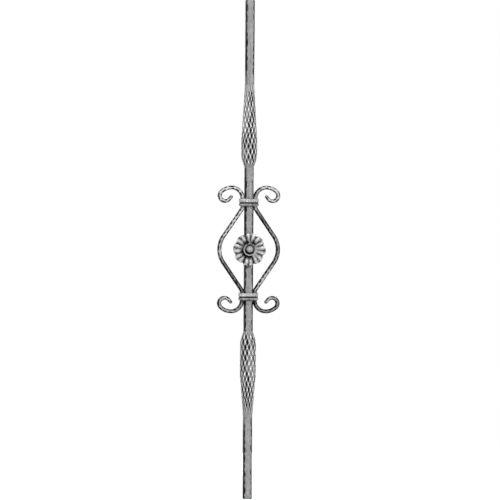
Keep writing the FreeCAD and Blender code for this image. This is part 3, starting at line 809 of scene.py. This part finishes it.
FLATTENED, FULL = 0.87, 1.17  # how far wear changes the height of a bead
beads = bead(size["Lower bead"], tall * 0.5 + up) + bead(size["Upper bead"], tall * 0.5 - up)
spread = join(collar_tree, spot_x / MM, spot_y / MM, up + size["Height"])
worn = noise(collar_tree, spread, scale=0.18)
bulge = (size["Strip"] + size["Bead"] * beads * between(FLATTENED, FULL, worn)) * is_outer * MM
print("collars:", len(collar_tree.nodes), "nodes bend their section")

# %% [markdown]
# The groove is painted dark, as scale and painted shade, and the lower bead is painted darker than the upper,
# as painted shade under it. On the upper collar the groove is paler than on the lower, so both numbers are
# inputs of the tree, and it runs once for each collar.

# %% The collars' meshes
BEAD_FACE, BEAD_WEAR, BEAD_SPREAD = 0.76, 0.5, 1.1
# Painted shade: the lower bead darker than the upper, the groove dark with scale and painted shade.
bead_relief = BEAD_FACE - up.math("LESS_THAN", 0.0) * size["Lower shade"] + (worn - 0.5) * BEAD_WEAR
relief = between(size["Groove relief"], bead_relief, eased(beads * BEAD_SPREAD) * is_outer)
placed = join(collar_tree, spot_x - way_y * bulge, spot_y + way_x * bulge, (up + size["Height"]) * MM)
end_tree(collar_tree, strip, placed, relief, size["Finish"])

for name, height, groove, lower_shade in (("upper", MIDDLE + COLLAR_MIDDLE, 0.26, 0.21),
                                       ("lower", MIDDLE - COLLAR_MIDDLE, 0.14, 0.18)):
    values = {"Finish": forged_iron, "Path": wrap_path, "Height": height, "Groove relief": groove,
              "Lower shade": lower_shade}
    settle(run_tree(f"{name}_band", collar_tree, values), f"{name}_collar")
bpy.data.objects.remove(wrap_path)

# %% [markdown]
# ## The rosette's petals
#
# The petals are one disc of sheet iron, pressed so that eight leaves rise from a flat middle. One leaf could
# be modelled and copied round, but then all eight would be alike. A tube bent into a disc follows one rule
# for all the leaves and adds a little luck to each. Its angle is the way round the disc. Its length runs
# from the bore out along the back, round the rim and in again along the front, so the sheet has a real
# thickness and a soft rim.

# %% Leaves of the disc
petal_tree, size = start_tree("pressed_petals", {
    "Diameter": 60.0, "Middle": 22.0, "Bore": 6.2, "Sheet": 2.5, "Petals": 8.0, "Rise": 4.5, "Droop": 2.2,
    "Crown": 0.6, "Notch": 4.0, "Crease": 1.6, "Valley": 2.6, "Turn": -4.5, "Height": MIDDLE,
    "Seat": BAR_HALF, "Unevenness": 1.1, "Waver": 0.5, "Dents": 1.0, "Seed": 4.0, "Ring shade seed": 114.5,
    "Points round": 256, "Rows": 96,
})
disc = add_node(petal_tree, "GeometryNodeMeshCylinder", settings={"fill_type": "NONE"}, Radius=1.0, Depth=1.0,
                Vertices=size["Points round"], Side_Segments=size["Rows"])
east, north, level = point_place(petal_tree)
angle = north.math("ARCTAN2", east)
to_rim = 1.0 - level.math("ABSOLUTE") * 2.0
around = join(petal_tree, east, north, level * 3.0 + size["Seed"])
waver = (noise(petal_tree, around, scale=2.2) - 0.5) * size["Waver"]
leaf = angle * size["Petals"] / (2 * math.pi) + 0.5 + waver * to_rim
aside = (leaf.math("FRACT") - 0.5).math("ABSOLUTE") * 2.0

bore, hub, tip = (size[label] * 0.5 for label in ("Bore", "Middle", "Diameter"))
number = leaf.math("FLOOR").math("FLOORED_MODULO", size["Petals"]) + size["Seed"]
luck = add_node(petal_tree, "ShaderNodeTexWhiteNoise", settings={"noise_dimensions": "1D"}, W=number)
reach = tip - size["Notch"] * aside.math("POWER", 3.0) - luck * size["Unevenness"] * (1.0 - aside)
radius = between(bore, reach, (to_rim * (math.pi / 2)).math("SINE"))
out = held((radius - hub) / (tip - hub))
print("petals:", len(petal_tree.nodes), "nodes lay out the leaves")

# %% [markdown]
# Each leaf rises to a crown and droops beyond it. A crease runs along its middle and a valley lies between
# two leaves. Both waver, because the tool was held by hand, and blows have left shallow dents. All of this
# is a sum of heights, so one formula presses the whole sheet.

# %% Pressing of the leaves
SHARPNESS = 2.3  # of creases and valleys
FAINT_CREASE, STRONG_CREASE = 0.6, 1.4
LIFT_GROWTH, PRESS_GROWTH = 1.5, 2.0  # how fast both begin outside the flat middle
RIM_ROUNDING, BORE_ROUNDING = 1.2, 0.8
to_crown = held(out / size["Crown"])
rise = size["Rise"] * ((to_crown * (math.pi / 2)).math("SINE") + eased(to_crown)) * 0.5
fall = held((out - size["Crown"]) / (1.0 - size["Crown"]))
lift = (luck - 0.5) * size["Unevenness"] * (1.0 - aside * aside) * held(out * LIFT_GROWTH)
dent = sharpened(noise(petal_tree, around, scale=3.4, detail=1.0), contrast=2.0, threshold=0.5)
crease, valley = held(1.0 - aside * SHARPNESS), held(1.0 - (1.0 - aside) * SHARPNESS)
creased = size["Crease"] * crease * crease * between(FAINT_CREASE, STRONG_CREASE, luck)
pressed = (creased + size["Valley"] * valley * valley + dent * size["Dents"]) * held(out * PRESS_GROWTH)

rim = held((reach - radius) / RIM_ROUNDING) * held((radius - bore) / BORE_ROUNDING)
thick = root(rim * (2.0 - rim)) * size["Sheet"]
is_front = level.math("GREATER_THAN", 0.0)
forward = rise - size["Droop"] * fall * fall + lift - pressed
forward = forward + size["Sheet"] * 0.5 + thick * (is_front - 0.5) + size["Seat"]
print("petals:", len(petal_tree.nodes), "nodes with their pressing")

# %% [markdown]
# Painted shade darkens creases and valleys in lines, strong in some places and faint in others. Halfway
# between them the leaves are rubbed and get a painted highlight. Painted shade lies round the cup in patches,
# with painted light where there is none, and the back of the sheet is duller.

# %% The petals' mesh
LEAF_FACE, LEAF_RUB_AND_HIGHLIGHT, BACK_DULL = 0.72, 0.16, 0.15
CREASE_DARK, VALLEY_DARK, FAINTEST_LINE = 0.75, 0.8, 0.3
SHADE_PATCH_DARK, UNSHADED_BRIGHT = 0.8, 0.08
LINE_GROWTH, RUB_NARROWNESS = 2.5, 4.5
force = sharpened(noise(petal_tree, around, scale=2.6, detail=1.0), contrast=3.0, threshold=0.9)
# Painted shade in creases and valleys.
lines = crease.math("POWER", 3.0) * CREASE_DARK + valley.math("POWER", 2.0) * VALLEY_DARK
lines = lines * between(FAINTEST_LINE, 1.0, force) * held(out * LINE_GROWTH)
# Rub with a painted highlight halfway between the lines.
rubbed = held(1.0 - (aside - 0.5).math("ABSOLUTE") * RUB_NARROWNESS)
rubbed = rubbed * sharpened(out, contrast=2.0, threshold=0.2)
# Painted shade round the cup in patches, and painted light where there is none.
on_ring = join(petal_tree, east, north, size["Ring shade seed"])
painted_shade = patches(petal_tree, on_ring, contrast=3.0, threshold=1.0, scale=1.4)
near_cup = 1.0 - sharpened(out, contrast=2.8, threshold=0.25)
relief = LEAF_FACE + rubbed * LEAF_RUB_AND_HIGHLIGHT - lines - near_cup * (painted_shade * SHADE_PATCH_DARK - UNSHADED_BRIGHT)
relief = relief - (1.0 - is_front) * BACK_DULL
turned = angle + size["Turn"] * (math.pi / 180)
placed = join(petal_tree, turned.math("COSINE") * radius * MM, -forward * MM,
              (turned.math("SINE") * radius + size["Height"]) * MM)
end_tree(petal_tree, disc, placed, relief, size["Finish"])
petal_disc = run_tree("petal_disc", petal_tree, {"Finish": pressed_iron})
settle(petal_disc, "rosette_petals")

# %% [markdown]
# ## Cup and rivet
#
# Both are turned forms. A Screw modifier could spin them, but each point also needs its relief, so a small
# lathe in plain mesh code is the simpler way: an outline of radius and height is spun about the rosette's
# axis. Bare corners look like plastic, so the corners of the outline are rounded first.

# %% A small lathe
FLATS_ROUND, FLATS_FROM = 12, 3.0  # flats in a turn, and the radius from which they are full


def rounded_outline(stops, steps=5):
    """Outline through (radius, height, rounding) stops, with an arc for each corner that asks for one."""
    outline = []
    for i, (radius, height, rounding) in enumerate(stops):
        here = Vector((radius, height))
        if rounding == 0:
            outline.append(here)
            continue
        before, after = Vector(stops[i - 1][:2]) - here, Vector(stops[(i + 1) % len(stops)][:2]) - here
        start, end = here + before.normalized() * rounding, here + after.normalized() * rounding
        for step in range(steps + 1):
            t = step / steps
            outline.append(start * (1 - t) ** 2 + here * 2 * t * (1 - t) + end * t ** 2)
    return outline


def tidy_mesh(mesh):
    """Merge what meets on the axis, point all faces outwards and shade them smoothly."""
    work = bmesh.new()
    work.from_mesh(mesh)
    bmesh.ops.remove_doubles(work, verts=work.verts, dist=WELD)
    bmesh.ops.recalc_face_normals(work, faces=work.faces)
    work.to_mesh(mesh)
    work.free()
    mesh.shade_smooth()


def turned_piece(name, outline, finish, sides, closed, relief_of, flats=0.0):
    """Piece of an outline spun about the rosette's axis; flats is how far hammered flats draw it in."""
    points, faces, reliefs = [], [], []
    axis = Vector((0.0, -BAR_HALF, MIDDLE))
    for side in range(sides):
        turn = 2 * math.pi * side / sides
        dip = flats * (0.5 + 0.5 * math.cos(FLATS_ROUND * turn))
        for radius, height in outline:
            reach = radius * (1 - dip * min(1, radius / FLATS_FROM))
            spot = Vector((reach * math.cos(turn), -height, reach * math.sin(turn)))
            points.append((axis + spot) * MM)
            reliefs.append(relief_of(height, turn))
    count = len(outline)
    for side in range(sides):
        here, following = side * count, (side + 1) % sides * count
        for i in range(count if closed else count - 1):
            j = (i + 1) % count
            faces.append((here + i, here + j, following + j, following + i))
    mesh = bpy.data.meshes.new(name)
    mesh.from_pydata(points, [], faces)
    mesh.attributes.new("relief", "FLOAT", "POINT").data.foreach_set("value", reliefs)
    mesh.materials.append(finish)
    tidy_mesh(mesh)
    piece = bpy.data.objects.new(name, mesh)
    bpy.context.scene.collection.objects.link(piece)
    return piece


# %% [markdown]
# The cup is a small flared dish of sheet on the middle of the petals. Its rim is bright, a painted shadow
# lies in
# its lower half, and painted shade sits in spots on the upper part of the rim. Marks this small need no
# texture:
# the painted shadow follows a sine of the way round, and two waves of different counts make the spots uneven.

# %% The cup
CUP_FLOOR, CUP_HEIGHT = 2.5, 4.8  # heights are counted from the bar's face
CUP_RADIUS, CUP_FOOT, CUP_BORE = 11.3, 8.1, 3.1
CUP_SHEET = 1.2
# The cup's lower half carries a painted shadow, the upper part of its rim spots of painted shade.
SHADOW_TILT = 0.3
CUP_FACE, RIM_RUB, SHADOW_DARK, RIM_SHADE = 0.46, 0.28, 0.4, 0.5
cup_rim, cup_seat = CUP_FLOOR + CUP_HEIGHT, CUP_FLOOR + CUP_SHEET
cup_outline = rounded_outline([
    (CUP_BORE, CUP_FLOOR, 0), (CUP_FOOT + CUP_SHEET, CUP_FLOOR, 0.8), (CUP_RADIUS, cup_rim, 0.5),
    (CUP_RADIUS - CUP_SHEET, cup_rim, 0.5), (CUP_FOOT, cup_seat, 0.6), (CUP_BORE, cup_seat, 0)])


def cup_relief(height, turn):
    """Bright on the rim, darker deeper inside as painted shade, black with a painted shadow in the lower
    half, and with painted shade on top of the rim.
    """
    up = max(0, (height - cup_seat) / (cup_rim - cup_seat))
    painted_shadow = max(0, -math.sin(turn + SHADOW_TILT)) ** 0.6 * (1 - up ** 3)
    spots = 0.5 + 0.3 * math.cos(14 * (turn - 1.52)) + 0.2 * math.cos(9 * turn + 1.0)
    painted_shade = max(0, math.sin(turn)) ** 0.7 * spots * (0.35 + 0.65 * up)
    return CUP_FACE + RIM_RUB * up - SHADOW_DARK * painted_shadow - RIM_SHADE * painted_shade


cup_dish = turned_piece("cup_dish", cup_outline, pressed_iron, sides=168, closed=True, relief_of=cup_relief)
settle(cup_dish, "rosette_cup")

# %% [markdown]
# The rivet holds cup and petals to the bar. Its dome is part of a ball, its shank goes right through, and
# its tail is spread into a countersink at the back. The head was set with a hammer, which leaves a dozen
# soft flats round it. One open outline from axis to axis, spun by the same lathe, gives all of that.

# %% The rivet
HEAD, DOME, SHANK = 7.15, 4.25, 3.0
TAIL, TAIL_PROUD = 4.5, 0.15
UNDER_EDGE = 0.3  # a narrow step below the head keeps its edge crisp
# Painted shade at the dome's foot, and a painted shadow in its lower half.
DOME_FOOT, DOME_RUB, FOOT_SHADOW, FOOT_HEIGHT = 0.36, 0.34, 0.6, 3.0
ball = (HEAD ** 2 + DOME ** 2) / (2 * DOME)
slant = math.acos((ball - DOME) / ball)
dome = [(ball * math.sin(tilt), cup_seat + DOME - ball * (1 - math.cos(tilt)))
        for tilt in slant * np.linspace(0, 1, 20)]
tail_end = -BAR_SIDE - TAIL_PROUD
rivet_outline = [*dome, (HEAD - UNDER_EDGE, cup_seat), (SHANK, cup_seat), (SHANK, TAIL - SHANK - BAR_SIDE),
                 (TAIL, -BAR_SIDE), (TAIL - 0.15, tail_end + 0.05), (TAIL - 0.5, tail_end), (0, tail_end)]


def rivet_relief(height, turn):
    """Rubbed on top of the dome, painted darker at its foot as shade, and darkest below, where the cup's
    painted shadow reaches it.
    """
    up = min(1, abs(height - cup_seat) / FOOT_HEIGHT)
    return DOME_FOOT + DOME_RUB * up - FOOT_SHADOW * (1 - up ** 2) * max(0, -math.sin(turn + SHADOW_TILT))


rivet_button = turned_piece("rivet_button", rivet_outline, forged_iron, sides=96, closed=False,
                            relief_of=rivet_relief, flats=0.03)
settle(rivet_button, "rosette_rivet")

# %% [markdown]
# ## Surround and floor
#
# The photograph has a white background. More light would give that too, but it would flood the hollows. So
# the surround is white only to the camera and in reflections, and dim as a source of light.

# %% White surround
AMBIENT = 0.06


def looked_at(tree):
    """1 for rays of the camera and of reflections, and 0 for rays that only carry light."""
    rays = tree.nodes.new("ShaderNodeLightPath")
    return held(Wire(rays.outputs["Is Camera Ray"]) + Wire(rays.outputs["Is Glossy Ray"])
                + Wire(rays.outputs["Is Transmission Ray"]))


world = bpy.data.worlds.new("surround")
bpy.context.scene.world = world
world.use_nodes = True
sky = world.node_tree
background = next(node for node in sky.nodes if node.type == "BACKGROUND")
background.inputs["Color"].default_value = (1, 1, 1, 1)
plug(sky, between(AMBIENT, 1.0, looked_at(sky)), background.inputs["Strength"])
print("surround:", len(sky.nodes), "nodes")

# %% [markdown]
# The baluster stands on a pale floor. A white one would swallow its shadow, and a grey one would end in a
# hard line against the surround. So the floor is pale and glows a little to the camera and in reflections:
# hardly at all near the baluster, and more and more further out, until it meets the white.

# %% Pale floor
FLOOR_HALF, FLOOR_GREY = 1.5, 0.75
GLOW_NEAR, GLOW_FAR, GLOW_FROM, GLOW_TO = 0.08, 1.0, 0.35, 1.4
floor_finish = bpy.data.materials.new("pale_floor")
floor_finish.use_nodes = True
ground = floor_finish.node_tree
ground_shader = next(node for node in ground.nodes if node.type == "BSDF_PRINCIPLED")
ground_shader.inputs["Base Color"].default_value = (FLOOR_GREY, FLOOR_GREY, FLOOR_GREY, 1)
ground_shader.inputs["Roughness"].default_value = 0.9
ground_shader.inputs["Emission Color"].default_value = (1, 1, 1, 1)
on_floor = add_node(ground, "ShaderNodeTexCoord", outlet="Object")
distance = add_node(ground, "ShaderNodeVectorMath", "Value", {"operation": "LENGTH"}, Vector=on_floor)
glow = between(GLOW_NEAR, GLOW_FAR, eased((distance - GLOW_FROM) / (GLOW_TO - GLOW_FROM)))
plug(ground, looked_at(ground) * glow, ground_shader.inputs["Emission Strength"])

floor_mesh = bpy.data.meshes.new("floor")
corners = [(x * FLOOR_HALF, y * FLOOR_HALF, 0) for x, y in ((-1, -1), (1, -1), (1, 1), (-1, 1))]
floor_mesh.from_pydata(corners, [], [(0, 1, 2, 3)])
floor_mesh.materials.append(floor_finish)
floor = bpy.data.objects.new("floor", floor_mesh)
bpy.context.scene.collection.objects.link(floor)
print("floor:", 2 * FLOOR_HALF, "m wide")

# %% [markdown]
# ## Light
#
# A key lamp from the upper right in front models the forms. A wider lamp from the upper left, with seven
# tenths of its power, keeps the dark sides readable, and a third one lights the back for other views. Area
# lamps are chosen because their soft shadows suit a plain studio.

# %% Lamps
LAMPS = (  # name, place and side in metres, watts
    ("key", (1.62, -1.8, 2.21), 0.4, 94),
    ("fill", (-2.0, -0.36, 2.1), 0.8, 66),
    ("back", (0.4, 2.6, 1.6), 1.2, 70),
)
lit_point = Vector((0.0, 0.0, MIDDLE * MM))
for name, place, side, watts in LAMPS:
    light = bpy.data.lights.new(name, "AREA")
    light.size = side
    light.energy = watts
    stand = bpy.data.objects.new(name, light)
    stand.location = place
    stand.rotation_euler = (lit_point - Vector(place)).to_track_quat("-Z", "Y").to_euler()
    bpy.context.scene.collection.objects.link(stand)
    print(f"{name}: {watts} W, {(lit_point - Vector(place)).length:.1f} m away")

# %% [markdown]
# ## Camera
#
# The camera stands far off with a long lens, eight degrees to the left, as in the photograph. A near camera
# would make the ends of the bar shrink. The bar leans a third of a degree there, so the camera is rolled by
# as much.

# %% Camera
FRAME_PIXELS, MM_A_PIXEL = 500, 1.8036
AZIMUTH, ELEVATION, ROLL = -8.0, 1.0, 0.36  # degrees
DISTANCE, SENSOR = 10.0, 36.0  # metres, and millimetres
AIM = Vector((0.0026, 0.0, 0.449))
camera_data = bpy.data.cameras.new("camera")
camera = bpy.data.objects.new("camera", camera_data)
bpy.context.scene.collection.objects.link(camera)
turn, lift = math.radians(AZIMUTH), math.radians(ELEVATION)
back = Vector((math.sin(turn) * math.cos(lift), -math.cos(turn) * math.cos(lift), math.sin(lift)))
camera.location = AIM + back * DISTANCE
look = (-back).to_track_quat("-Z", "Y").to_matrix()
camera.rotation_euler = (look @ Matrix.Rotation(math.radians(ROLL), 3, "Z")).to_euler()
camera_data.sensor_width = SENSOR
camera_data.lens = SENSOR * DISTANCE / (FRAME_PIXELS * MM_A_PIXEL * MM)
camera_data.clip_end = 10 * DISTANCE
bpy.context.scene.camera = camera
bpy.context.scene.view_settings.view_transform = "Standard"
print("lens:", round(camera_data.lens), "mm")
